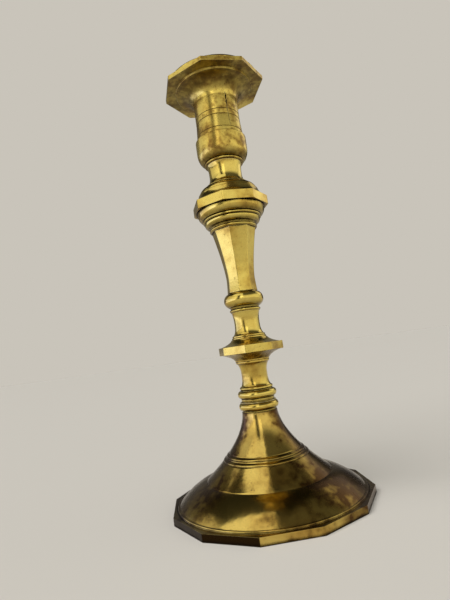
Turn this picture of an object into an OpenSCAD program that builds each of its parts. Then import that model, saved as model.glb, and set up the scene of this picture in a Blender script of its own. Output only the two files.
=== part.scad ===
// Single-light cast and turned brass candlestick: a hollow twelve-sided foot, a stem of
// stacked sections on a tie rod, and a candle socket under an eight-sided drip pan.
// Z is up, the foot rests on z = 0 and the stem's axis is the Z axis.

/* [Foot] */
// Width of the foot across its corners
foot_w = 110; // [100:1:120]
// Number of straight sides on the foot's rim
foot_sides = 12; // [8, 10, 12]
// Height of the rim's upright faces
rim_h = 4; // [3:0.5:5]
// Height of the foot, from the table to the seat of the stem
foot_h = 48.4; // [46:0.2:52]
// Sideways thickness of the bell's wall
bell_wall = 4; // [3:0.5:5]

/* [Stem] */
// Radius of the foot and the lower bead where they meet
stem_r = 9.9; // [9.4:0.1:10.4]
// Width of the eight-sided knop across its corners
knop_w = 45.2; // [43:0.2:50]
// Height of the knop's upright faces
knop_band_h = 5.2; // [4:0.2:6]
// Width of the middle flange across its corners
flange_w = 37.2; // [36:0.2:42]
// Height of the flange's upright faces
flange_band_h = 4.4; // [3.4:0.2:5.4]
// Width of the baluster across its corners at its top
baluster_top_w = 26.2; // [24:0.2:27]
// Width of the baluster across its corners at its narrowest
baluster_waist_w = 16.8; // [15.6:0.2:20]
// Length of the baluster
baluster_h = 36.8; // [30:0.2:50]
// Smallest radius of the two spool-shaped necks
spool_r = 7.2; // [6.8:0.1:8]

/* [Candle socket] */
// Diameter of the hole for the candle
candle_d = 22.4; // [21:0.1:23]
// Depth of the hole for the candle
candle_depth = 40; // [37:0.5:41]
// Outer diameter of the socket tube
tube_d = 26.6; // [26:0.1:28]
// Width of the drip pan across its corners
pan_w = 61.4; // [54:0.2:70]
// Thickness of the drip pan's edge
pan_t = 2.4; // [2:0.2:3]
// Diameter of the cup that the socket tube stands in
cup_d = 30.4; // [30:0.2:34]

/* [Fixings] */
// Diameter of the tie rod's thread
rod_d = 6; // [5:0.5:6]
// Room around the tie rod in the sections that slide over it
rod_room = 0.25; // [0.15:0.05:0.4]
// Radius of the spigot that centres each section on the next
spigot_r = 5; // [4.6:0.1:5.2]
// Length of the spigots
spigot_h = 2.5; // [2:0.1:3]
// Width of the nut across its flats
nut_af = 10; // [9:0.5:11]

/* [Hidden] */
$fn = 96;
arc_steps = 10;
cut = 1;               // how far a cutter runs past the face it opens
fit_gap = 0.1;         // side room between a spigot and its recess
recess_extra = 0.3;    // room at the bottom of a recess
stem_sides = 8;

// heights of the stacked sections
lower_bead_h = 6;
upper_bead_h = 6;
lower_neck_h = 16;
flange_h = 13.4;
waist_h = 14.6;
ring_knop_h = 11.2;
collar_h = 12.4;
knop_h = 14.4;
neck_h = 14;
cup_h = 15.6;
tube_h = 35.2;

// seats of the stacked sections
lower_bead_z = foot_h;
upper_bead_z = lower_bead_z + lower_bead_h;
lower_neck_z = upper_bead_z + upper_bead_h;
flange_z = lower_neck_z + lower_neck_h;
waist_z = flange_z + flange_h;
ring_knop_z = waist_z + waist_h;
baluster_z = ring_knop_z + ring_knop_h;
collar_z = baluster_z + baluster_h;
knop_z = collar_z + collar_h;
neck_z = knop_z + knop_h;
cup_z = neck_z + neck_h;
tube_z = cup_z + cup_h;

// the foot's outline
foot_r = foot_w / 2;
foot_ring_r = foot_r * cos(180 / foot_sides) - 2.3;   // ring line just inside the rim
foot_ring_z = rim_h + 0.7;
dish_r = foot_r * 0.615;                              // where the dish meets the bell
dish_z = rim_h + 10.8;
dish_bulge = 0.9;                                     // how far the dish swells above a cone
dish_step = 0.4;
bell_power = 1.75;
boss_z = foot_h - 15.4;                               // underside of the boss the nut pulls on
bell_beads = [rim_h + 20.7, rim_h + 22.8];            // heights of the two turned beads
bell_bead_r = 0.7;

// the socket
tube_r = tube_d / 2;
candle_r = candle_d / 2;
tenon_h = candle_depth - tube_h;                      // part of the tube inside the cup
tenon_r = candle_r + 1.3;
tube_foot_r = tube_r + 0.6;
incised = [2.8, 10.8, 14];                            // turned lines, above the tube's shoulder
incised_d = 0.3;
cove_r = 8.6;                                         // cove between the tube and the pan
pan_ring_r = tube_r + cove_r + 0.7;
pan_ring_d = 0.75;
pan_dish_d = 0.8;                                     // sunk top of the pan
lip_r = tube_r;
rim_bead_r = 1.4;                                     // round bead on the pan's upper edge
rim_bead_at = [pan_w / 2 * cos(180 / stem_sides) - 1.5, 0.9];
pan_dish_r = rim_bead_at[0] - rim_bead_r - 0.1;

// the fixings
rod_r = rod_d / 2;
rod_hole_r = rod_r + rod_room;
tapped_r = rod_r + 0.05;
tapped_h = 7;
washer_r = 8;
washer_t = 1.2;
nut_h = 5;
rod_end = 2.8;                                        // rod left standing below the nut
rod_bottom_z = boss_z - washer_t - nut_h - rod_end;
rod_top_z = cup_z + tapped_h - 0.5;

brass = "#b8923a";
worn_brass = "#c9a24a";
steel = "#8a8a86";

// part of an ellipse round [r, z], from angle a to angle b
function bend(c, rr, rz, a, b) =
    [for (i = [0:arc_steps]) let (t = a + (b - a) * i / arc_steps) c + [rr * cos(t), rz * sin(t)]];

// smooth curve from p to q, pulled towards m
function curve(p, m, q) =
    [for (i = [0:arc_steps]) let (t = i / arc_steps) (1 - t) ^ 2 * p + 2 * t * (1 - t) * m + t ^ 2 * q];

// a turned line cut into a surface of radius r at height z
function incision(r, z) = [[r, z - incised_d], [r - incised_d, z], [r, z + incised_d]];

// outer radius of the bell at height z
function bell_r(z) = stem_r + (dish_r - stem_r) * ((foot_h - z) / (foot_h - dish_z)) ^ bell_power;

// half the baluster's width across its corners at height z above its seat
function baluster_r(z) =
    let (waist_at = baluster_h * 0.22, waist_r = baluster_waist_w / 2)
    z > waist_at
    ? waist_r + (baluster_top_w / 2 - waist_r) * ((z - waist_at) / (baluster_h - waist_at)) ^ 1.45
    : waist_r + 0.5 * ((waist_at - z) / waist_at) ^ 1.5;

// round solid from the outline of its right side, listed from the bottom up
module turned(outline) {
    top = outline[len(outline) - 1][1];
    rotate_extrude()
        polygon(concat([[0, outline[0][1]]], outline, [[0, top]]));
}

// straight-sided prism with its corners on the axes
module prism(r, h, sides = stem_sides) {
    linear_extrude(height = h)
        circle(r = r, $fn = sides);
}

// recess in the top of a section of height h, for the spigot of the one above
module recess(h) {
    translate([0, 0, h - spigot_h - recess_extra])
        cylinder(r = spigot_r + fit_gap, h = spigot_h + recess_extra + cut);
}

// a stem section: the given shape with a spigot below, a recess above and the rod's hole
module section(h) {
    difference() {
        union() {
            children();
            translate([0, 0, -spigot_h])
                cylinder(r = spigot_r, h = spigot_h + cut);
        }
        recess(h);
        translate([0, 0, -spigot_h - cut])
            cylinder(r = rod_hole_r, h = h + spigot_h + 2 * cut);
    }
}

// hollow foot: a polygonal rim, a shallow swelling dish and a bell with two turned beads
module foot() {
    bell_steps = 24;
    dish_mid = [(dish_r + foot_ring_r) / 2 + dish_bulge, (dish_z + foot_ring_z) / 2 + 2 * dish_bulge];
    bell = [for (i = [0:bell_steps]) let (z = dish_z + (foot_h - dish_z) * i / bell_steps) [bell_r(z), z]];
    hollow_low = dish_z - 3.6;
    hollow = [for (i = [0:bell_steps])
        let (z = hollow_low + (boss_z - hollow_low) * i / bell_steps) [bell_r(z) - bell_wall, z]];
    color(brass)
    difference() {
        union() {
            prism(foot_r, rim_h, foot_sides);
            turned(concat(
                [[foot_ring_r + 1, rim_h - 1], [foot_ring_r + 1, rim_h + 0.1]],
                curve([foot_ring_r, foot_ring_z], dish_mid, [dish_r + 0.6, dish_z - dish_step]),
                bell));
            for (z = bell_beads)
                rotate_extrude()
                    translate([bell_r(z) - 0.15, z])
                        circle(r = bell_bead_r, $fn = 24);
        }
        turned(concat([[foot_ring_r - 4, -cut], [foot_ring_r - 4, rim_h - 1]], hollow));
        translate([0, 0, boss_z - cut])
            cylinder(r = rod_hole_r, h = foot_h - boss_z + 2 * cut);
        recess(foot_h);
    }
}

// bead above the foot, with a dark gap below it and a small fillet above
module lower_bead() {
    color(worn_brass)
    translate([0, 0, lower_bead_z])
    section(lower_bead_h)
        turned(concat(
            [[stem_r - 0.4, 0], [stem_r - 0.4, 0.9]],
            bend([stem_r - 0.8, 3], 2.05, 2.1, -90, 90),
            [[stem_r + 0.2, 5.1], [stem_r + 0.2, 5.4], [stem_r - 0.6, 5.6], [stem_r - 0.6, lower_bead_h]]));
}

// second bead, above a deep groove
module upper_bead() {
    color(worn_brass)
    translate([0, 0, upper_bead_z])
    section(upper_bead_h)
        turned(concat(
            [[stem_r - 0.6, 0], [stem_r - 0.6, 1.3]],
            bend([stem_r - 0.9, 3.5], 1.95, 2.1, -90, 90),
            [[stem_r - 0.9, upper_bead_h]]));
}

// spool between the beads and the flange, with a fillet at each end
module lower_neck() {
    color(brass)
    translate([0, 0, lower_neck_z])
    section(lower_neck_h)
        turned(concat(
            [[8.9, 0]],
            bend([8.7, 0.9], 0.65, 0.8, -60, 90),
            curve([8.4, 2], [spool_r, 3.4], [spool_r + 0.15, 8.6]),
            curve([spool_r + 0.15, 9], [spool_r + 0.2, 12.6], [8.9, 14.6]),
            [[9.5, 14.9], [9.5, lower_neck_h]]));
}

// eight-sided flange half way up the stem, coved above and below
module middle_flange() {
    flange_r = flange_w / 2;
    flat_r = flange_r * cos(180 / stem_sides);
    band_z = (flange_h - flange_band_h) / 2;
    band_top = band_z + flange_band_h;
    color(brass)
    translate([0, 0, flange_z])
    section(flange_h)
        union() {
            translate([0, 0, band_z])
                prism(flange_r, flange_band_h);
            turned(concat(
                [[9.8, 0], [9.8, 0.8]],
                curve([10, 0.9], [11.4, 3], [flat_r - 0.4, band_z]),
                curve([flat_r - 0.4, band_top], [11.4, flange_h - 3], [10.2, flange_h - 0.9]),
                [[9.8, flange_h - 0.8], [9.8, flange_h]]));
        }
}

// spool above the flange
module waist() {
    color(brass)
    translate([0, 0, waist_z])
    section(waist_h)
        turned(concat(
            [[9.4, 0], [9.4, 1]],
            curve([8.9, 1.2], [spool_r, 2.6], [spool_r, 7.4]),
            curve([spool_r, 7.8], [spool_r, 12.4], [8.2, waist_h])));
}

// swelling ring under the baluster, with a fillet below it
module ring_knop() {
    color(worn_brass)
    translate([0, 0, ring_knop_z])
    section(ring_knop_h)
        turned(concat(
            [[8.4, 0]],
            bend([8.2, 0.8], 0.7, 0.7, -70, 80),
            [[8.1, 1.8]],
            bend([7.6, 6.8], 3.8, 4.2, -75, 78),
            [[8.3, ring_knop_h]]));
}

// eight-sided baluster with hollow-sided faces, each face cut straight across
module baluster() {
    steps = 24;
    heights = [for (i = [0:steps]) baluster_h * i / steps];
    flat = cos(180 / stem_sides);
    right = [for (z = heights) [baluster_r(z) * flat, z]];
    left = [for (i = [steps:-1:0]) [-baluster_r(heights[i]) * flat, heights[i]]];
    color(worn_brass)
    translate([0, 0, baluster_z])
    section(baluster_h)
        intersection_for (i = [0:stem_sides / 2 - 1])
            rotate((i + 0.5) * 360 / stem_sides)
                rotate([90, 0, 0])
                    linear_extrude(height = 2 * baluster_top_w, center = true)
                        polygon(concat(right, left));
}

// stepped rings that carry the knop
module knop_collar() {
    color(brass)
    translate([0, 0, collar_z])
    section(collar_h)
        turned(concat(
            [[13.4, 0]],
            bend([13.2, 0.9], 0.8, 0.75, -75, 80),
            curve([13.3, 1.9], [13.5, 2.8], [14.6, 3]),
            curve([15, 3.2], [16.3, 3.8], [16.4, 5.6]),
            [[15.9, 5.9], [16.7, 6.1], [17.3, 6.5], [17.3, 7.1], [16.8, 7.4]],
            curve([17.7, 7.7], [19.8, 8.6], [19.9, 12]),
            [[19.9, collar_h]]));
}

// eight-sided knop: upright faces under a cove and a small round moulding
module octagonal_knop() {
    knop_r = knop_w / 2;
    flat_r = knop_r * cos(180 / stem_sides);
    color(brass)
    translate([0, 0, knop_z])
    section(knop_h)
        union() {
            prism(knop_r, knop_band_h);
            turned(concat(
                [[flat_r - 0.3, knop_band_h - cut], [flat_r - 0.3, knop_band_h + 0.3]],
                curve([flat_r - 0.5, knop_band_h + 0.4], [18.4, 7.6], [17.8, 10.2]),
                curve([17.3, 10.4], [16.6, 13.4], [13.2, 14.1]),
                [[13.2, knop_h]]));
        }
}

// waisted neck between the knop and the cup, with a fillet at its foot
module upper_neck() {
    color(brass)
    translate([0, 0, neck_z])
    section(neck_h)
        turned(concat(
            [[12.5, 0]],
            bend([12.3, 0.6], 0.5, 0.5, -60, 90),
            curve([11.9, 1.2], [9.8, 3.2], [9.7, 7]),
            curve([9.7, 8.8], [9.7, 12], [10.5, neck_h])));
}

// barrel-shaped cup with a ring under it: it takes the socket's tenon and the rod's thread
module candle_cup() {
    cup_r = cup_d / 2;
    color(brass)
    translate([0, 0, cup_z])
    difference() {
        union() {
            turned(concat(
                [[10.6, 0]],
                bend([10.9, 0.85], 0.8, 0.8, -90, 80),
                bend([11.2, 8.5], cup_r - 11.2, 6.9, -88, 0),
                [[cup_r + 0.05, 12], [cup_r, cup_h - 0.3], [cup_r - 0.3, cup_h]]));
            translate([0, 0, -spigot_h])
                cylinder(r = spigot_r, h = spigot_h + cut);
        }
        translate([0, 0, cup_h - tenon_h])
            cylinder(r = tenon_r + fit_gap, h = tenon_h + cut);
        translate([0, 0, -spigot_h - cut])
            cylinder(r = tapped_r, h = tapped_h + spigot_h + cut);
    }
}

// socket tube, cove and eight-sided drip pan in one casting, bored for the candle;
// the pan's top is sunk inside a round bead
module socket_with_pan() {
    pan_z = tube_h - pan_t;
    cove_z = pan_z - 1.3 - cove_r;
    color(worn_brass)
    translate([0, 0, tube_z])
    difference() {
        union() {
            translate([0, 0, pan_z])
                prism(pan_w / 2, pan_t);
            turned(concat(
                [[tenon_r, -tenon_h], [tenon_r, 0], [tube_foot_r, 0]],
                incision(tube_foot_r - 0.1, incised[0]),
                incision(tube_r, incised[1]),
                incision(tube_r, incised[2]),
                bend([tube_r + cove_r, cove_z], cove_r, cove_r, 180, 90),
                bend([pan_ring_r, pan_z - 0.75], pan_ring_d, pan_ring_d, -120, 60),
                [[pan_ring_r + 0.3, pan_z + cut]]));
            translate([0, 0, tube_h])
                rotate_extrude()
                    translate(rim_bead_at)
                        circle(r = rim_bead_r, $fn = 32);
        }
        translate([0, 0, -tenon_h - cut])
            cylinder(r = candle_r, h = candle_depth + 2 * cut);
        translate([0, 0, tube_h])
            rotate_extrude()
                polygon([[lip_r, cut], [lip_r, 0], [lip_r + 0.6, -pan_dish_d],
                         [pan_dish_r - 1.5, -pan_dish_d], [pan_dish_r, 0], [pan_dish_r, cut]]);
    }
}

// steel rod that draws the stack together
module tie_rod() {
    color(steel)
    translate([0, 0, rod_bottom_z])
        cylinder(r = rod_r, h = rod_top_z - rod_bottom_z);
}

// washer under the boss, inside the foot
module base_washer() {
    color(steel)
    translate([0, 0, boss_z - washer_t])
    difference() {
        cylinder(r = washer_r, h = washer_t);
        translate([0, 0, -cut])
            cylinder(r = rod_hole_r, h = washer_t + 2 * cut);
    }
}

// hexagon nut on the rod's lower end
module base_nut() {
    color(steel)
    translate([0, 0, boss_z - washer_t - nut_h])
    difference() {
        prism(nut_af / 2 / cos(30), nut_h, 6);
        translate([0, 0, -cut])
            cylinder(r = tapped_r, h = nut_h + 2 * cut);
    }
}

foot();
lower_bead();
upper_bead();
lower_neck();
middle_flange();
waist();
ring_knop();
baluster();
knop_collar();
octagonal_knop();
upper_neck();
candle_cup();
socket_with_pan();
tie_rod();
base_washer();
base_nut();
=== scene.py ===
import bpy
import bmesh
import math
from mathutils import Matrix, Vector


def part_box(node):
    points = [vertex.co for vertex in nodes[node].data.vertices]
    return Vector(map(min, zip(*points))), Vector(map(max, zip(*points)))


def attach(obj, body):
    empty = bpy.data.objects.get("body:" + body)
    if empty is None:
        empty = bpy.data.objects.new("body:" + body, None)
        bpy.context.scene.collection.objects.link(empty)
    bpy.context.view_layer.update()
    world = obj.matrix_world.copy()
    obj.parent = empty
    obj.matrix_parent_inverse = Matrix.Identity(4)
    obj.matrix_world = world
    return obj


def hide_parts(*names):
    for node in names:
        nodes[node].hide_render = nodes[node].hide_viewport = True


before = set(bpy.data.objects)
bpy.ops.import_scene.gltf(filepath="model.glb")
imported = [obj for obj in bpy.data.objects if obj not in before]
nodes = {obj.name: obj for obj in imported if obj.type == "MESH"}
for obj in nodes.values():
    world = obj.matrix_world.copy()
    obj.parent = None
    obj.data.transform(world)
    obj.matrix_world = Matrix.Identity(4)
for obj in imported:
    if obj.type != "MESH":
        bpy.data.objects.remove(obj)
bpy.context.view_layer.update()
scene = bpy.context.scene
mm = 0.001
print("frame loaded:", len(nodes), "CAD nodes")


def linearColour(hexCode):
    channels = [int(hexCode[i:i + 2], 16) / 255 for i in (1, 3, 5)]
    return tuple(c / 12.92 if c <= 0.04045 else ((c + 0.055) / 1.055) ** 2.4 for c in channels) + (1.0,)


def addNode(tree, kind, settings=None, inputs=None):
    # settings are the node's own choices, inputs are numbers, colours or sockets to link from
    node = tree.nodes.new(kind)
    for name, value in (settings or {}).items():
        setattr(node, name, value)
    for name, value in (inputs or {}).items():
        if isinstance(value, bpy.types.NodeSocket):
            tree.links.new(value, node.inputs[name])
        else:
            node.inputs[name].default_value = value
    return node


def arcPoints(centre, wide, tall, start, stop, count=14):
    # part of an ellipse, angles in degrees, as (r, z) points
    angles = [math.radians(start + (stop - start) * i / count) for i in range(count + 1)]
    return [(centre[0] + wide * math.cos(a), centre[1] + tall * math.sin(a)) for a in angles]


def curvePoints(first, pull, last, count=14):
    # smooth curve from first to last that leans towards pull
    points = []
    for i in range(count + 1):
        t = i / count
        points.append(tuple((1 - t) ** 2 * a + 2 * t * (1 - t) * b + t * t * c
                            for a, b, c in zip(first, pull, last)))
    return points


def grooveAt(r, z, deep=0.28, wide=0.5):
    # a line turned into a surface of radius r
    return [(r, z - wide / 2), (r - deep, z - wide / 8), (r - deep, z + wide / 8), (r, z + wide / 2)]


cameraView = {
    "place": (0.034847, -0.241743, 0.083108),   # close to the candlestick, a third of the way up
    "heading": 10.712,                          # degrees, turned left from +Y
    "tilt": 6.902,                              # degrees, looking up
    "roll": -7.968,                             # degrees, the stem leans left in the frame
    "lens": 25.457,
}
cameraData = bpy.data.cameras.new("camera")
cameraData.lens = cameraView["lens"]
cameraData.clip_start = 0.01
camera = bpy.data.objects.new("camera", cameraData)
camera.matrix_world = (Matrix.Translation(cameraView["place"])
                       @ Matrix.Rotation(math.radians(cameraView["heading"]), 4, "Z")
                       @ Matrix.Rotation(math.radians(90 + cameraView["tilt"]), 4, "X")
                       @ Matrix.Rotation(math.radians(cameraView["roll"]), 4, "Z"))
scene.collection.objects.link(camera)
bpy.context.scene.camera = camera

studio = {
    "cameraSide": 8.2,                          # degrees to the right of the front
    "floorSize": 16.0,
    "floorColour": "#D4D2CF",
    "horizonGlow": 0.94,                        # light that comes in low, strongest from the front
    "overheadGlow": 0.11,                       # nearly dark above, so that sloped brass has contrast
    "glowFrom": 24, "glowTo": 47,               # degrees above the floor where the glow fades
    "glowColour": "#FFFCEC",
    "frontSide": (0.64, -0.77, 0),              # the glow is strongest from here
    "rearGlow": 0.2, "rearSpread": (-0.7, 0.6), # share of the glow from behind, and where it begins and ends
    "darkGap": (0.93, -0.37, 0),                # across this line lies a dark strip, as between two windows
    "gapGlow": 0.15, "gapSpread": (0.09, 0.22), # share of the glow left in the strip, and its soft edges
    "backdropColour": "#C9C4BA",                # what shows beyond the floor
    "backdropStrength": 1.0,
    "paperGlow": 2.6, "paperSoftness": 50,      # daylight on the paper alone, and its width in degrees
    "paperTurn": (32, -40), "paperWhite": "#FFFBF4",
}

scene.view_settings.view_transform = "Standard"

floorMesh = bmesh.new()
bmesh.ops.create_grid(floorMesh, x_segments=1, y_segments=1, size=studio["floorSize"] / 2)
floorData = bpy.data.meshes.new("floor")
floorMesh.to_mesh(floorData)
floorMesh.free()
floor = bpy.data.objects.new("floor", floorData)
scene.collection.objects.link(floor)
floorPaint = bpy.data.materials.new("paleStudioPaper")
floorPaint.use_nodes = True
paper = floorPaint.node_tree.nodes["Principled BSDF"]
paper.inputs["Base Color"].default_value = linearColour(studio["floorColour"])
paper.inputs["Roughness"].default_value = 0.9
floorData.materials.append(floorPaint)


def studioRoom():
    world = bpy.data.worlds.new("studioRoom")
    scene.world = world
    world.use_nodes = True
    tree = world.node_tree
    tree.nodes.clear()
    towards = addNode(tree, "ShaderNodeTexCoord")
    up = addNode(tree, "ShaderNodeSeparateXYZ", inputs={"Vector": towards.outputs["Generated"]})
    fade = addNode(tree, "ShaderNodeMapRange", {"interpolation_type": "SMOOTHSTEP"}, {
        "Value": up.outputs["Z"], "From Min": math.sin(math.radians(studio["glowFrom"])),
        "From Max": math.sin(math.radians(studio["glowTo"])),
        "To Min": studio["horizonGlow"], "To Max": studio["overheadGlow"]})
    ahead = addNode(tree, "ShaderNodeVectorMath", {"operation": "DOT_PRODUCT"})
    tree.links.new(towards.outputs["Generated"], ahead.inputs[0])
    ahead.inputs[1].default_value = studio["frontSide"]
    share = addNode(tree, "ShaderNodeMapRange", {"interpolation_type": "SMOOTHSTEP"}, {
        "Value": ahead.outputs["Value"], "From Min": studio["rearSpread"][0],
        "From Max": studio["rearSpread"][1], "To Min": studio["rearGlow"]})
    across = addNode(tree, "ShaderNodeVectorMath", {"operation": "DOT_PRODUCT"})
    tree.links.new(towards.outputs["Generated"], across.inputs[0])
    across.inputs[1].default_value = studio["darkGap"]
    aside = addNode(tree, "ShaderNodeMath", {"operation": "ABSOLUTE"})
    tree.links.new(across.outputs["Value"], aside.inputs[0])
    gap = addNode(tree, "ShaderNodeMapRange", {"interpolation_type": "SMOOTHSTEP"}, {
        "Value": aside.outputs["Value"], "From Min": studio["gapSpread"][0],
        "From Max": studio["gapSpread"][1], "To Min": studio["gapGlow"]})
    evened = addNode(tree, "ShaderNodeMath", {"operation": "MULTIPLY"})
    tree.links.new(share.outputs["Result"], evened.inputs[0])
    tree.links.new(gap.outputs["Result"], evened.inputs[1])
    amount = addNode(tree, "ShaderNodeMath", {"operation": "MULTIPLY"})
    tree.links.new(fade.outputs["Result"], amount.inputs[0])
    tree.links.new(evened.outputs["Value"], amount.inputs[1])
    glow = addNode(tree, "ShaderNodeBackground", inputs={
        "Color": linearColour(studio["glowColour"]), "Strength": amount.outputs["Value"]})
    backdrop = addNode(tree, "ShaderNodeBackground", inputs={
        "Color": linearColour(studio["backdropColour"]), "Strength": studio["backdropStrength"]})
    seen = addNode(tree, "ShaderNodeLightPath")
    either = addNode(tree, "ShaderNodeMixShader")
    tree.links.new(seen.outputs["Is Camera Ray"], either.inputs[0])
    tree.links.new(glow.outputs["Background"], either.inputs[1])
    tree.links.new(backdrop.outputs["Background"], either.inputs[2])
    addNode(tree, "ShaderNodeOutputWorld", inputs={"Surface": either.outputs["Shader"]})


studioRoom()

# the panels shine on the brass only, and the paper has its own light, so that it stays evenly pale
notOnPaper = bpy.data.collections.new("notOnPaper")
notOnPaper.objects.link(floor)
notOnPaper.collection_objects[0].light_linking.link_state = "EXCLUDE"


def lightPanel(name, place, turn, wide, tall, glow, colour):
    # a flat soft panel; place is right, away and up from the candlestick as the camera sees it, and
    # turn is its tip and heading in degrees: 0, 0 shines straight down, 90, 0 shines away from the camera
    data = bpy.data.lights.new(name, "AREA")
    data.shape = "RECTANGLE"
    data.size = wide
    data.size_y = tall
    data.energy = glow * math.pi * wide * tall
    data.color = linearColour(colour)[:3]
    lamp = bpy.data.objects.new(name, data)
    lamp.matrix_world = (Matrix.Rotation(math.radians(studio["cameraSide"]), 4, "Z")
                         @ Matrix.Translation(place)
                         @ Matrix.Rotation(math.radians(turn[1]), 4, "Z")
                         @ Matrix.Rotation(math.radians(turn[0]), 4, "X"))
    lamp.visible_camera = False
    scene.collection.objects.link(lamp)
    lamp.light_linking.receiver_collection = notOnPaper


# name: place, turn, width and height in metres, glow, colour
# the bright side ends at a straight edge in the plane of the camera and the stem
panels = {
    "ceilingPanel": ((-0.7, -0.58, 1.6), (0, 0), 1.4, 1.25, 0.95, "#FFFCF0"),
    "frontPanel": ((-0.19, -1.2, 1.0), (90, 0), 0.38, 1.2, 0.8, "#FFFCF0"),
    "doorPanel": ((-1.1, -1.2, 1.0), (90, 0), 0.6, 1.2, 0.6, "#FFFCF0"),
    "wallPanel": ((-1.4, -0.25, 1.1), (90, -90), 1.9, 1.0, 0.55, "#FFFCF4"),
    "windowPanel": ((-0.85, -0.15, 0.19), (90, -96), 1.4, 0.36, 1.6, "#C2CAFF"),
    "backPanel": ((1.15, 1.05, 1.1), (70, 133), 1.1, 0.9, 0.6, "#FFF8E8"),
}
for name, choices in panels.items():
    lightPanel(name, *choices)


def paperLight():
    # soft daylight that falls on the paper only, so that the floor stays pale
    data = bpy.data.lights.new("paperLight", "SUN")
    data.energy = studio["paperGlow"]
    data.angle = math.radians(studio["paperSoftness"])
    data.color = linearColour(studio["paperWhite"])[:3]
    lamp = bpy.data.objects.new("paperLight", data)
    tip, heading = studio["paperTurn"]
    lamp.matrix_world = (Matrix.Rotation(math.radians(heading), 4, "Z")
                         @ Matrix.Rotation(math.radians(tip), 4, "X"))
    scene.collection.objects.link(lamp)
    paperOnly = bpy.data.collections.new("paperOnly")
    paperOnly.objects.link(floor)
    lamp.light_linking.receiver_collection = paperOnly


paperLight()
print("camera, floor and lights placed")


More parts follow.
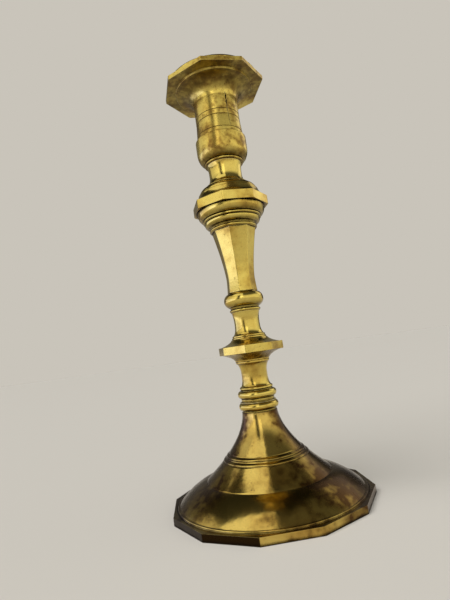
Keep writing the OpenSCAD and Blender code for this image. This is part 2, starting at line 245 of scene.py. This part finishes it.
def brass(name, look):
    # cast brass, turned or filed and then hand polished for years: golden, with pale edges that are partly
    # rubbed and partly painted highlight, brown with tarnish and painted shade in grooves, on undersides and
    # at the sides, with faint rings from the lathe
    material = bpy.data.materials.new(name)
    material.use_nodes = True
    tree = material.node_tree
    tree.nodes.clear()
    place = addNode(tree, "ShaderNodeTexCoord")
    inMm = addNode(tree, "ShaderNodeMapping", inputs={
        "Vector": place.outputs["Object"], "Scale": (1 / mm, 1 / mm, 1 / mm)})
    at = inMm.outputs["Vector"]
    parts = addNode(tree, "ShaderNodeSeparateXYZ", inputs={"Vector": at})
    facing = addNode(tree, "ShaderNodeSeparateXYZ", inputs={"Vector": place.outputs["Normal"]})

    def maths(operation, a, b=0.0, clamp=False):
        node = addNode(tree, "ShaderNodeMath", {"operation": operation, "use_clamp": clamp})
        for i, value in enumerate((a, b)):
            if isinstance(value, bpy.types.NodeSocket):
                tree.links.new(value, node.inputs[i])
            else:
                node.inputs[i].default_value = value
        return node.outputs[0]

    def cloud(size, detail=4.0, rough=0.55, stretch=None):
        source = at
        if stretch:
            stretched = addNode(tree, "ShaderNodeMapping", inputs={"Vector": at, "Scale": stretch})
            source = stretched.outputs["Vector"]
        return addNode(tree, "ShaderNodeTexNoise", inputs={
            "Vector": source, "Scale": 1 / size, "Detail": detail, "Roughness": rough}).outputs["Fac"]

    def ramp(value, low, high):
        node = addNode(tree, "ShaderNodeMapRange", {"interpolation_type": "SMOOTHSTEP"}, {
            "Value": value, "From Min": low, "From Max": high})
        return node.outputs["Result"]

    def blend(amount, first, second):
        node = addNode(tree, "ShaderNodeMix", {"data_type": "RGBA"}, {"Factor": amount})
        for i, value in ((6, first), (7, second)):
            if isinstance(value, bpy.types.NodeSocket):
                tree.links.new(value, node.inputs[i])
            else:
                node.inputs[i].default_value = value
        return node.outputs[2]

    around = maths("SQRT", maths("ADD", maths("MULTIPLY", parts.outputs["X"], parts.outputs["X"]),
                                 maths("MULTIPLY", parts.outputs["Y"], parts.outputs["Y"])))
    # lathe rings step along this, so they follow both upright and sloping surfaces
    alongOutline = maths("SUBTRACT", maths("MULTIPLY", around, 1.2), parts.outputs["Z"])

    large = cloud(look["cloudSize"], 3)
    medium = cloud(look["cloudSize"] / 4, 5, 0.6)
    fine = cloud(look["fineSize"], 4, 0.7)

    # occlusion by nearby surfaces, which drives the grime and painted shade in hollows
    recess = addNode(tree, "ShaderNodeAmbientOcclusion", {"samples": 8},
                     {"Distance": look["recessReach"] * mm})
    hidden = maths("SUBTRACT", 1.0, recess.outputs["AO"], True)
    # convex edges: pale gold that is partly wear and partly painted highlight
    edgeConvexity = addNode(tree, "ShaderNodeAmbientOcclusion", {"samples": 8, "inside": True, "only_local": True},
                     {"Distance": look["edgeReach"] * mm})
    edge = ramp(maths("SUBTRACT", 1.0, edgeConvexity.outputs["AO"]), *look["edgeFrom"])

    # tarnish: broad brown clouds, and painted shade at the left and right sides, darker the further a surface
    # turns sideways
    sideways = maths("DIVIDE", maths("ABSOLUTE", parts.outputs["X"]), maths("ADD", around, 0.01))
    stain = cloud(look["stainSize"], 9, 0.68)
    sideways = maths("ADD", sideways, maths("MULTIPLY", maths("SUBTRACT", large, 0.5), 0.5))
    sideways = maths("ADD", sideways, maths("MULTIPLY", maths("SUBTRACT", stain, 0.5), 0.5))
    sides = maths("MULTIPLY", ramp(sideways, *look["sideShadeFrom"]), look["sideShade"])
    clouds = ramp(maths("ADD", maths("MULTIPLY", large, 0.65), maths("MULTIPLY", medium, 0.35)),
                  look["tarnishFrom"], look["tarnishFrom"] + 0.22)
    # from here tarnish also holds the painted shade at the sides
    tarnish = maths("ADD", maths("MULTIPLY", clouds, look["tarnish"]), sides, True)
    # painted shade and tarnish on undersides: darker the more a surface faces down
    downwards = maths("MULTIPLY", facing.outputs["Z"], -1.0)
    under = maths("MULTIPLY", ramp(downwards, *look["underShadeFrom"]), look["underTarnishAndShade"])
    worn = maths("SUBTRACT", 1.1, maths("MULTIPLY", ramp(stain, 0.36, 0.7), 0.4))
    under = maths("MULTIPLY", under, worn, True)
    flecks = maths("SUBTRACT", 1.0, maths("MULTIPLY", ramp(fine, 0.62, 0.7), 0.7))
    under = maths("MULTIPLY", under, flecks, True)
    # the painted underside shade is lifted on the far side of the socket, which is painted lighter than the
    # rest
    away = maths("DIVIDE", parts.outputs["Y"], maths("ADD", around, 0.01))
    farSideLift = maths("SUBTRACT", 1.0, maths("MULTIPLY", ramp(away, 0.3, 0.95), look["farSideShadeLift"]))
    under = maths("MULTIPLY", under, farSideLift, True)
    # painted shade on the left half of the foot's rim
    paintedRimShade = maths("MULTIPLY", ramp(parts.outputs["Z"], look["rimTop"], look["rimTop"] - 0.4),
                    ramp(parts.outputs["X"], 0.3, -0.3))
    under = maths("MAXIMUM", under, maths("MULTIPLY", paintedRimShade, look["rimShadeAmount"]))
    # grime and painted shade: almost black brown, deep in the grooves
    settledAndShaded = maths("MULTIPLY", hidden, maths("ADD", medium, 0.5))
    grimeAndShade = maths("MULTIPLY", ramp(settledAndShaded, 0.12, look["grimeAndShadeAt"]), look["grimeAndShade"], True)
    # specks: small brown spots
    cells = addNode(tree, "ShaderNodeTexVoronoi", inputs={
        "Vector": at, "Scale": 1 / look["speckSpacing"], "Randomness": 1.0})
    speck = maths("MULTIPLY", ramp(cells.outputs["Distance"], *look["speckEdge"]), ramp(medium, 0.5, 0.62))
    speck = maths("MULTIPLY", speck, look["specks"], True)

    colour = blend(ramp(large, 0.35, 0.68), linearColour(look["gold"]), linearColour(look["deepGold"]))
    colour = blend(maths("MULTIPLY", ramp(fine, 0.45, 0.75), 0.35), colour, linearColour(look["olive"]))
    colour = blend(tarnish, colour, linearColour(look["brown"]))
    colour = blend(speck, colour, linearColour(look["speckBrown"]))
    # painted shade and tarnish under things, with the painted shade on the left half of the rim
    colour = blend(under, colour, linearColour(look["underTarnishAndShadeBrown"]))
    # grime and painted shade in grooves and hollows
    colour = blend(grimeAndShade, colour, linearColour(look["grimeAndShadeBrown"]))
    # pale gold on convex edges, partly wear and partly painted highlight
    colour = blend(maths("MULTIPLY", edge, look["edgeWearAndHighlight"]), colour, linearColour(look["rubbedAndHighlightGold"]))

    unevenness = 0.16
    rough = maths("ADD", maths("MULTIPLY", medium, unevenness), look["roughness"] - unevenness / 2)
    for dirt, added in ((tarnish, 0.10), (under, 0.12), (speck, 0.15), (grimeAndShade, 0.25)):
        rough = maths("ADD", rough, maths("MULTIPLY", dirt, added), True)

    rings = addNode(tree, "ShaderNodeTexNoise", {"noise_dimensions": "1D"}, {
        "W": maths("DIVIDE", alongOutline, look["ringPitch"]), "Scale": 1.0, "Detail": 3.0, "Roughness": 0.6})
    scratches = cloud(look["scratchSize"], 2, 0.6,
                      stretch=(1, 1, 0.06) if look["filedUpright"] else (0.12, 0.12, 1))
    wobble = cloud(look["wobbleSize"], 2)
    height = maths("MULTIPLY", rings.outputs["Fac"], look["ringDepth"])
    height = maths("ADD", height, maths("MULTIPLY", scratches, look["scratchDepth"]))
    height = maths("ADD", height, maths("MULTIPLY", wobble, look["wobbleDepth"]))
    height = maths("SUBTRACT", height, maths("MULTIPLY", speck, look["speckDepth"]))
    relief = addNode(tree, "ShaderNodeBump", inputs={"Height": height, "Distance": mm, "Strength": 1.0})

    shader = addNode(tree, "ShaderNodeBsdfPrincipled", inputs={
        "Base Color": colour, "Roughness": rough, "Normal": relief.outputs["Normal"], "Metallic": 1.0})
    addNode(tree, "ShaderNodeOutputMaterial", inputs={"Surface": shader.outputs["BSDF"]})
    return material


# sizes in mm; real lathe rings and polishing scratches are finer, and are drawn this coarse to show
brassLook = {
    "gold": "#E2C969", "deepGold": "#CBA94E", "olive": "#A4914E", "brown": "#76562A",
    "speckBrown": "#553B18", "underTarnishAndShadeBrown": "#453316", "grimeAndShadeBrown": "#1C130A", "rubbedAndHighlightGold": "#F6E6AC",
    "cloudSize": 14, "tarnish": 0.45, "tarnishFrom": 0.5, "sideShade": 0.0, "underTarnishAndShade": 0.65,
    "rimTop": -100, "rimShadeAmount": 0.0, "farSideShadeLift": 0.0,
    "recessReach": 2.5, "grimeAndShade": 1.0, "grimeAndShadeAt": 0.36, "speckSpacing": 1.6, "specks": 0.4,
    "edgeWearAndHighlight": 0.8, "roughness": 0.15, "ringPitch": 0.5, "ringDepth": 0.002, "filedUpright": False,
    "scratchSize": 0.35, "scratchDepth": 0.001, "wobbleSize": 6, "wobbleDepth": 0.05,
    "fineSize": 0.9, "stainSize": 5, "speckEdge": (0.30, 0.12), "speckDepth": 0.006,
    "edgeReach": 0.9, "edgeFrom": (0.35, 0.8), "sideShadeFrom": (0.4, 0.95), "underShadeFrom": (0.2, 0.8),
}
# sand cast and only roughly polished: broad soft reflections, with painted shade at the sides and on the left
# half of the rim
castBrass = brass("castBrassPolishedFoot", {
    **brassLook, "gold": "#DDC067", "deepGold": "#C29C4B", "brown": "#583D1C", "underTarnishAndShadeBrown": "#2E200E",
    "cloudSize": 20, "tarnish": 0.7, "tarnishFrom": 0.48, "sideShade": 0.92, "specks": 0.6,
    "wobbleSize": 8, "wobbleDepth": 0.09, "rimTop": 4.2, "rimShadeAmount": 1.0})
# turned on a lathe: crisp bright bands with grooves between them darkened by grime and painted shade
turnedBrass = brass("turnedBrassStem", {**brassLook, "wobbleDepth": 0.035, "recessReach": 3.0})
# filed flat by hand: flats that each catch the light a little unevenly, with corners pale from wear and
# painted highlight
filedBrass = brass("filedBrassFacets", {
    **brassLook, "ringDepth": 0.0, "filedUpright": True, "scratchDepth": 0.002, "roughness": 0.18,
    "wobbleSize": 5, "wobbleDepth": 0.06, "edgeWearAndHighlight": 1.0})
# turned and then tarnished by wax and heat: duller, mottled and speckled, darkest under the pan with tarnish
# and painted shade, less so on the far side
socketBrass = brass("turnedBrassSocket", {
    **brassLook, "specks": 0.9, "speckSpacing": 1.1, "tarnish": 0.8, "tarnishFrom": 0.45, "cloudSize": 11,
    "roughness": 0.24, "recessReach": 3.0, "grimeAndShade": 0.6, "grimeAndShadeAt": 0.55, "farSideShadeLift": 0.75,
    "underTarnishAndShade": 0.8, "underTarnishAndShadeBrown": "#50401F"})

steelLook = {"grain": 1.5, "rust": "#4A3626", "metal": "#8E8C88", "roughness": (0.65, 0.35), "relief": 0.02}


def dulledSteel():
    # plain rolled mild steel that has never been polished: grey and matt, with brown where damp got to it
    material = bpy.data.materials.new("dulledMildSteel")
    material.use_nodes = True
    tree = material.node_tree
    shader = tree.nodes["Principled BSDF"]
    place = addNode(tree, "ShaderNodeTexCoord")
    cloudy = addNode(tree, "ShaderNodeTexNoise", inputs={
        "Vector": place.outputs["Object"], "Scale": 1 / (steelLook["grain"] * mm), "Detail": 5.0})
    tint = addNode(tree, "ShaderNodeValToRGB", inputs={"Fac": cloudy.outputs["Fac"]})
    tint.color_ramp.elements[0].position = 0.38
    tint.color_ramp.elements[0].color = linearColour(steelLook["rust"])
    tint.color_ramp.elements[1].position = 0.56
    tint.color_ramp.elements[1].color = linearColour(steelLook["metal"])
    tree.links.new(tint.outputs["Color"], shader.inputs["Base Color"])
    rustRough, metalRough = steelLook["roughness"]
    dull = addNode(tree, "ShaderNodeMapRange", inputs={
        "Value": cloudy.outputs["Fac"], "To Min": rustRough, "To Max": metalRough})
    tree.links.new(dull.outputs["Result"], shader.inputs["Roughness"])
    shader.inputs["Metallic"].default_value = 1.0
    relief = addNode(tree, "ShaderNodeBump", inputs={
        "Height": cloudy.outputs["Fac"], "Distance": steelLook["relief"] * mm})
    tree.links.new(relief.outputs["Normal"], shader.inputs["Normal"])
    return material


steel = dulledSteel()
print("materials made")

joinery = {                         # mm, how each section stands in the one below it
    "spigotRadius": 5.0, "spigotLength": 2.5, "recessRadius": 5.1, "recessDepth": 2.8, "rodHole": 3.25,
}
stemSides = 8
footSides = 12


def seatOf(node, spigot=joinery["spigotLength"]):
    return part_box(node)[0].z / mm + spigot


def heightOf(node, spigot=joinery["spigotLength"]):
    low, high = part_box(node)
    return (high.z - low.z) / mm - spigot


def acrossOf(node):
    # half the node's width across its corners, in mm
    low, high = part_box(node)
    return (high.x - low.x) / 2 / mm


def sectionLoop(outline, height):
    # closes an outline with the recess on top, the rod's hole and the spigot below
    j = joinery
    inside = [(j["recessRadius"], height), (j["recessRadius"], height - j["recessDepth"]),
              (j["rodHole"], height - j["recessDepth"]), (j["rodHole"], -j["spigotLength"]),
              (j["spigotRadius"], -j["spigotLength"]), (j["spigotRadius"], 0)]
    return outline + inside


def spinLoop(loop, seat, steps=160):
    # a closed loop of (r, z) points turned once round the stem's axis
    work = bmesh.new()
    corners = [work.verts.new((r * mm, 0, (seat + z) * mm)) for r, z in loop]
    rim = [work.edges.new(pair) for pair in zip(corners, corners[1:] + corners[:1])]
    bmesh.ops.spin(work, geom=corners + rim, cent=(0, 0, 0), axis=(0, 0, 1), angle=math.tau, steps=steps,
                   use_merge=True)
    bmesh.ops.remove_doubles(work, verts=work.verts, dist=1e-7)
    bmesh.ops.recalc_face_normals(work, faces=work.faces)
    return work


def flatOf(corner, sides):
    # from the axis to the middle of a flat
    return corner * math.cos(math.pi / sides)


def fileFacets(work, sides, corner):
    # files flats round the piece, as wide as its corner radius allows
    flat = flatOf(corner, sides) * mm
    for i in range(sides):
        a = math.tau * (i + 0.5) / sides
        outward = Vector((math.cos(a), math.sin(a), 0))
        bmesh.ops.bisect_plane(work, geom=work.verts[:] + work.edges[:] + work.faces[:], dist=1e-7,
                               plane_co=outward * flat, plane_no=outward, clear_outer=True)
        openEdges = [e for e in work.edges if e.is_boundary]
        if openEdges:
            bmesh.ops.holes_fill(work, edges=openEdges, sides=0)
    bmesh.ops.remove_doubles(work, verts=work.verts, dist=1e-7)
    bmesh.ops.recalc_face_normals(work, faces=work.faces)


def roundArrises(work, radius, width):
    # softens the upright corners between two flats, outside the radius in mm
    arrises = []
    for edge in work.edges:
        low, high = (v.co for v in edge.verts)
        upright = abs((low - high).normalized().z) > 0.8
        if upright and min(low.xy.length, high.xy.length) > radius * mm:
            arrises.append(edge)
    bmesh.ops.bevel(work, geom=arrises, offset=width * mm, affect="EDGES", segments=3, profile=0.5,
                    material=-1)


def crackCutter(heading, radius, deep, levels):
    # a thin wedge pushed into the wall; levels are (z, sideways, half width) up the crack
    work = bmesh.new()
    turn = Matrix.Rotation(math.radians(heading), 3, "Z")
    outside, inside, narrowing = radius + 6, radius - deep, 0.4

    def corners(z, sideways, half):
        return [turn @ Vector((sideways + side * half * share, -depth, z)) * mm
                for side, share, depth in ((-1, 1, outside), (1, 1, outside),
                                           (1, narrowing, inside), (-1, narrowing, inside))]

    verts = [work.verts.new(c) for c in corners(*levels[0])]
    base = top = work.faces.new(verts)
    for level in levels[1:]:
        grown = bmesh.ops.extrude_face_region(work, geom=[top])["geom"]
        if top is not base:
            bmesh.ops.delete(work, geom=[top], context="FACES_ONLY")   # no wall is left inside the wedge
        top = next(g for g in grown if isinstance(g, bmesh.types.BMFace))
        for vert, place in zip(top.verts, corners(*level)):
            vert.co = place
    bmesh.ops.recalc_face_normals(work, faces=work.faces)
    return work


def cutFlaws(piece, flaws):
    # takes the cutters out of the finished shape, then leaves a plain mesh behind
    work = bmesh.new()
    for flaw in flaws:
        scrap = bpy.data.meshes.new("scrap")
        flaw.to_mesh(scrap)
        flaw.free()
        work.from_mesh(scrap)
        bpy.data.meshes.remove(scrap)
    mesh = bpy.data.meshes.new("flawCutter")
    work.to_mesh(mesh)
    work.free()
    cutter = bpy.data.objects.new("flawCutter", mesh)
    scene.collection.objects.link(cutter)
    cut = piece.modifiers.new("flaws", "BOOLEAN")
    cut.operation = "DIFFERENCE"
    cut.solver = "EXACT"
    cut.object = cutter
    bpy.context.view_layer.update()
    finished = bpy.data.meshes.new_from_object(piece.evaluated_get(bpy.context.evaluated_depsgraph_get()))
    piece.modifiers.clear()
    piece.data = finished
    finished.set_sharp_from_angle(angle=math.radians(50))
    bpy.data.objects.remove(cutter)
    bpy.data.meshes.remove(mesh)


def finishPiece(work, name, material, node, edgeRound=0.15, edgeAngle=28, segments=2, flaws=()):
    # edgeRound is in mm; edges sharper than edgeAngle get it
    mesh = bpy.data.meshes.new(name)
    work.to_mesh(mesh)
    work.free()
    for face in mesh.polygons:
        face.use_smooth = True
    piece = bpy.data.objects.new(name, mesh)
    scene.collection.objects.link(piece)
    mesh.materials.append(material)
    rounding = piece.modifiers.new("worn edges", "BEVEL")
    rounding.width = edgeRound * mm
    rounding.segments = segments
    rounding.limit_method = "ANGLE"
    rounding.angle_limit = math.radians(edgeAngle)
    rounding.miter_outer = "MITER_ARC"
    if flaws:
        cutFlaws(piece, flaws)
    evened = piece.modifiers.new("flats kept flat", "WEIGHTED_NORMAL")
    evened.keep_sharp = True
    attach(piece, "root")
    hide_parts(node)


foot = {
    "rimHeight": 4.0, "rimWidth": 2.3, "ringHeight": 4.7, "ringRound": 0.4,
    "dishRadius": 33.8, "dishHeight": 14.8, "dishSwell": 0.9,
    "topRadius": 9.9, "bellPower": 1.75,
    "beads": (24.7, 26.8), "beadHeight": 0.55, "beadWidth": 0.55, "grooveWidth": 0.18, "grooveDepth": 0.22,
    "bossHeight": 33.0, "wall": 4.0, "hollowLow": 11.2,
}
footHeight = heightOf("foot", 0)
footCorner = acrossOf("foot")
footRing = flatOf(footCorner, footSides) - foot["rimWidth"]


def bellRadius(z):
    share = (footHeight - z) / (footHeight - foot["dishHeight"])
    return foot["topRadius"] + (foot["dishRadius"] - foot["topRadius"]) * share ** foot["bellPower"]


def bellSurface(z):
    # the bell with its two turned beads and the grooves beside them
    r = bellRadius(z)
    for bead in foot["beads"]:
        gap = (z - bead) / foot["beadWidth"]
        r += foot["beadHeight"] * max(0.0, 1 - gap * gap) ** 0.5 if abs(gap) < 1 else 0
        beside = (abs(z - bead) - foot["beadWidth"] - foot["grooveWidth"]) / foot["grooveWidth"]
        r -= foot["grooveDepth"] * max(0.0, 1 - beside * beside)
    return r


def footLoop():
    f = foot
    rimTop, ringTop, dishTop = f["rimHeight"], f["ringHeight"], f["dishHeight"]
    dishEdge, hollowEdge = f["dishRadius"], footRing - f["wall"]
    dishPull = ((dishEdge + footRing) / 2 + f["dishSwell"], (dishTop + ringTop) / 2 + 2 * f["dishSwell"])
    # the rim, with a fine line inside it, and the raised ring
    loop = [(hollowEdge, 0), (footCorner + 1, 0), (footCorner + 1, rimTop), (footRing + 1.0, rimTop),
            (footRing + 0.75, rimTop - 0.15), (footRing + 0.5, rimTop)]
    loop += arcPoints((footRing, ringTop - 0.15), f["ringRound"], f["ringRound"], 10, 130, 6)
    # the swelling dish, and the step up to the bell
    loop += curvePoints((footRing - 0.6, ringTop + 0.1), dishPull, (dishEdge + 0.7, dishTop - 0.42), 30)
    loop += [(dishEdge + 0.35, dishTop - 0.38), (dishEdge + 0.1, dishTop - 0.15)]
    heights = [dishTop + (footHeight - dishTop) * (i / 110) for i in range(111)]
    loop += [(bellSurface(z), z) for z in heights]
    # the recess and the rod's hole in the boss, and the hollow below
    recessFloor = footHeight - joinery["recessDepth"]
    loop += [(joinery["recessRadius"], footHeight), (joinery["recessRadius"], recessFloor),
             (joinery["rodHole"], recessFloor), (joinery["rodHole"], f["bossHeight"])]
    inner = [f["bossHeight"] - (f["bossHeight"] - f["hollowLow"]) * i / 30 for i in range(31)]
    loop += [(bellRadius(z) - f["wall"], z) for z in inner]
    loop += [(hollowEdge, rimTop - 1)]
    return loop


footWork = spinLoop(footLoop(), 0, steps=192)
fileFacets(footWork, footSides, footCorner)
finishPiece(footWork, "footCasting", castBrass, "foot", edgeRound=0.22, edgeAngle=24)
print("foot made")

stemRadius = foot["topRadius"]
beadPieces = {                      # outlines as (r, z) in mm, from the bottom up
    "lower_bead": [(stemRadius - 0.4, 0), (stemRadius - 0.4, 0.9)]
    + arcPoints((stemRadius - 0.8, 3), 2.05, 2.1, -90, 90, 22)
    + [(stemRadius + 0.2, 5.1), (stemRadius + 0.2, 5.4), (stemRadius - 0.6, 5.6), (stemRadius - 0.6, 6)],
    "upper_bead": [(stemRadius - 0.6, 0), (stemRadius - 0.6, 1.3)]
    + arcPoints((stemRadius - 0.9, 3.5), 1.95, 2.1, -90, 90, 22)
    + [(stemRadius - 0.9, 6)],
}
for node, outline in beadPieces.items():
    work = spinLoop(sectionLoop(outline, heightOf(node)), seatOf(node))
    finishPiece(work, node.replace("_", ""), turnedBrass, node)

spool = 7.2                         # the thinnest part of both spools
roundPieces = {
    "lower_neck": [(8.9, 0)] + arcPoints((8.7, 0.9), 0.65, 0.8, -60, 90, 12)
    + curvePoints((8.4, 2), (spool, 3.4), (spool + 0.15, 8.6))
    + curvePoints((spool + 0.15, 9), (spool + 0.2, 12.6), (8.9, 14.6))
    + [(9.5, 14.9), (9.5, 16)],
    "waist": [(9.4, 0), (9.4, 1)] + curvePoints((8.9, 1.2), (spool, 2.6), (spool, 7.4))
    + curvePoints((spool, 7.8), (spool, 12.4), (8.2, 14.6)),
    "ring_knop": [(8.4, 0)] + arcPoints((8.2, 0.8), 0.7, 0.7, -70, 80, 10) + [(8.1, 1.8)]
    + arcPoints((7.6, 6.8), 3.8, 4.2, -75, 78, 30) + [(8.3, 11.2)],
    "knop_collar": [(13.4, 0)] + arcPoints((13.2, 0.9), 0.8, 0.75, -75, 80, 10)
    + curvePoints((13.3, 1.9), (13.5, 2.8), (14.6, 3), 8)
    + curvePoints((15, 3.2), (16.3, 3.8), (16.4, 5.6), 10)
    + [(15.9, 5.9), (16.7, 6.1), (17.3, 6.5), (17.3, 7.1), (16.8, 7.4)]
    + curvePoints((17.7, 7.7), (19.8, 8.6), (19.9, 12)) + [(19.9, 12.4)],
    "upper_neck": [(12.5, 0)] + arcPoints((12.3, 0.6), 0.5, 0.5, -60, 90, 10)
    + curvePoints((11.9, 1.2), (9.8, 3.2), (9.7, 7))
    + curvePoints((9.7, 8.8), (9.7, 12), (10.5, 14)),
}
pieceNames = {"lower_neck": "lowerNeck", "waist": "waistSpool", "ring_knop": "ringKnop",
              "knop_collar": "knopCollar", "upper_neck": "upperNeck"}
for node, outline in roundPieces.items():
    work = spinLoop(sectionLoop(outline, heightOf(node)), seatOf(node))
    finishPiece(work, pieceNames[node], turnedBrass, node)
print("turned sections made")

flange = {"fillet": 9.8, "neck": 11.4, "coveLow": 0.9, "bandLow": 4.5, "bandHigh": 8.9, "coveHigh": 12.5}
knop = {"bandHigh": 5.2, "step": 0.3, "shoulder": 17.8, "shoulderHigh": 10.2,
        "collar": 13.2, "collarHigh": 14.1}
facetRound = {"corner": 0.5, "edge": 0.25}      # how far the corners and edges of the flats are worn, mm


def flangeOutline(corner):
    f = flange
    flat = flatOf(corner, stemSides) - 0.4
    return ([(f["fillet"], 0), (f["fillet"], f["coveLow"] - 0.1)]
            + curvePoints((10, f["coveLow"]), (f["neck"], 3), (flat, f["bandLow"]))
            + [(corner + 1, f["bandLow"]), (corner + 1, f["bandHigh"])]
            + curvePoints((flat, f["bandHigh"]), (f["neck"], 10.4), (10.2, f["coveHigh"]))
            + [(f["fillet"], 12.6), (f["fillet"], 13.4)])


def knopOutline(corner):
    k = knop
    flat = flatOf(corner, stemSides)
    stepIn, stepHigh = flat - k["step"], k["bandHigh"] + k["step"]
    return ([(corner + 1, 0), (corner + 1, k["bandHigh"]), (stepIn, k["bandHigh"]), (stepIn, stepHigh)]
            + curvePoints((flat - 0.5, 5.6), (18.4, 7.6), (k["shoulder"], k["shoulderHigh"]))
            + curvePoints((17.3, 10.4), (16.6, 13.4), (k["collar"], k["collarHigh"]))
            + [(k["collar"], 14.4)])


for node, outlineOf, name in (("middle_flange", flangeOutline, "middleFlange"),
                              ("octagonal_knop", knopOutline, "octagonalKnop")):
    corner = acrossOf(node)
    work = spinLoop(sectionLoop(outlineOf(corner), heightOf(node)), seatOf(node))
    fileFacets(work, stemSides, corner)
    roundArrises(work, corner * 0.98, facetRound["corner"])
    finishPiece(work, name, filedBrass, node, edgeRound=facetRound["edge"], segments=3)

balusterShape = {"waistCorner": 8.4, "waistAt": 0.22, "flare": 1.45, "footFlare": 0.5, "footPower": 1.5,
                 "cornerWidth": 0.55, "edgeRound": 0.12}


def balusterCorner(z, height, top):
    b = balusterShape
    low = height * b["waistAt"]
    if z > low:
        return b["waistCorner"] + (top - b["waistCorner"]) * ((z - low) / (height - low)) ** b["flare"]
    return b["waistCorner"] + b["footFlare"] * ((low - z) / low) ** b["footPower"]


def balusterWork():
    height = heightOf("baluster")
    top = acrossOf("baluster")
    outline = [(balusterCorner(height * i / 48, height, top), height * i / 48) for i in range(49)]
    work = spinLoop(sectionLoop(outline, height), seatOf("baluster"), steps=stemSides)
    roundArrises(work, balusterShape["waistCorner"] - 0.9, balusterShape["cornerWidth"])
    return work


finishPiece(balusterWork(), "balusterStem", filedBrass, "baluster",
            edgeRound=balusterShape["edgeRound"], edgeAngle=40)
print("faceted sections made")

cup = {
    "height": 15.6, "widest": 15.25, "tenonHole": 12.6, "tenonFloor": 10.8,
    "rodEnd": 7.0, "thread": 3.05, "pinhole": 0.6,
}


def cupLoop():
    c, j = cup, joinery
    # the ring at the foot, the swelling side and the flat band at the mouth
    loop = [(10.6, 0)] + arcPoints((10.9, 0.85), 0.8, 0.8, -90, 80, 14)
    loop += arcPoints((11.2, 8.5), 4.0, 6.9, -88, 0, 24)
    loop += [(c["widest"], 12), (15.2, 15.3), (14.9, c["height"])]
    # the hole for the tube's tenon, a pinhole, and the threaded hole that the rod stops in
    loop += [(c["tenonHole"], c["height"]), (c["tenonHole"], c["tenonFloor"]), (c["pinhole"], c["tenonFloor"]),
             (c["pinhole"], c["rodEnd"]), (c["thread"], c["rodEnd"]), (c["thread"], -j["spigotLength"]),
             (j["spigotRadius"], -j["spigotLength"]), (j["spigotRadius"], 0)]
    return loop


finishPiece(spinLoop(cupLoop(), seatOf("candle_cup")), "candleCup", socketBrass, "candle_cup")

socket = {
    "height": 35.2, "tube": 13.3, "foot": 13.9, "bore": 11.2, "tenon": 12.5, "tenonLength": 4.8,
    "lines": (10.8, 14.0), "footLine": 2.8,          # heights of the turned lines
    "panThick": 2.4, "panSunk": 0.8, "cove": 8.6, "ringRound": (0.75, 0.7),
    "beadRound": 1.4, "beadIn": 2.0, "beadUp": 0.9,  # round bead on the pan's upper edge
    "edgeRound": 0.18,
}
# casting cracks in the tube, right of the front; levels are (z, sideways, half width) in mm
cracks = {
    "long": {"heading": 38, "levels": [
        (212.0, 0.35, 0.12), (216.5, 0.1, 0.24), (219.4, 0.22, 0.28), (222.6, -0.1, 0.26), (225.2, 0.1, 0.36),
        (226.6, -0.15, 0.9), (228.2, 0.1, 0.55), (229.6, -0.1, 1.0), (231.0, 0.12, 0.75),
        (233.2, -0.12, 0.12)]},
    "short": {"heading": 74, "levels": [
        (221.5, -0.1, 0.08), (225.0, 0.1, 0.2), (227.5, -0.05, 0.55), (230.5, 0.1, 0.62), (233.8, 0.0, 0.1)]},
}
crackDepth = 1.1                    # the wall is 2.1 mm, so the cracks stop inside it


def socketLoop(corner):
    s = socket
    height = s["height"]
    under = height - s["panThick"]
    flat = flatOf(corner, stemSides)
    coveAt = under - 1.3 - s["cove"]
    ringAt = s["tube"] + s["cove"] + 0.7
    beadAt = flat - s["beadIn"]
    # the tenon and the tube with its turned lines
    loop = [(s["tenon"], -s["tenonLength"]), (s["tenon"], 0), (s["foot"], 0)]
    loop += grooveAt(s["foot"] - 0.1, s["footLine"])
    for line in s["lines"]:
        loop += grooveAt(s["tube"], line)
    # the cove, the ring round it and the pan's underside
    loop += arcPoints((s["tube"] + s["cove"], coveAt), s["cove"], s["cove"], 180, 90, 24)
    loop += arcPoints((ringAt, under - 0.6), *s["ringRound"], 235, 360, 10)
    loop += [(ringAt + 0.85, under - 0.2), (ringAt + 1.3, under), (corner + 1, under), (corner + 1, height),
             (flat - 0.2, height)]
    # the round bead, the sunk face inside it and the bore
    loop += arcPoints((beadAt, height + s["beadUp"]), s["beadRound"], s["beadRound"], -40, 220, 18)
    loop += [(beadAt - 1.5, height), (beadAt - 3, height - s["panSunk"]),
             (s["tube"] + 0.6, height - s["panSunk"]), (s["tube"], height), (s["bore"] + 0.3, height),
             (s["bore"], height - 0.4), (s["bore"], -s["tenonLength"])]
    return loop


panCorner = acrossOf("socket_with_pan")
socketWork = spinLoop(socketLoop(panCorner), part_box("candle_cup")[1].z / mm, steps=192)
fileFacets(socketWork, stemSides, panCorner)
crackCutters = [crackCutter(crack["heading"], socket["tube"], crackDepth, crack["levels"])
                for crack in cracks.values()]
finishPiece(socketWork, "socketAndPan", socketBrass, "socket_with_pan",
            edgeRound=socket["edgeRound"], flaws=crackCutters)
print("cup and socket made")

# the rod, washer and nut under the foot keep their own shapes
for node in ("tie_rod", "base_washer", "base_nut"):
    for slot in nodes[node].material_slots:
        slot.material = steel
print("fixings given their steel")
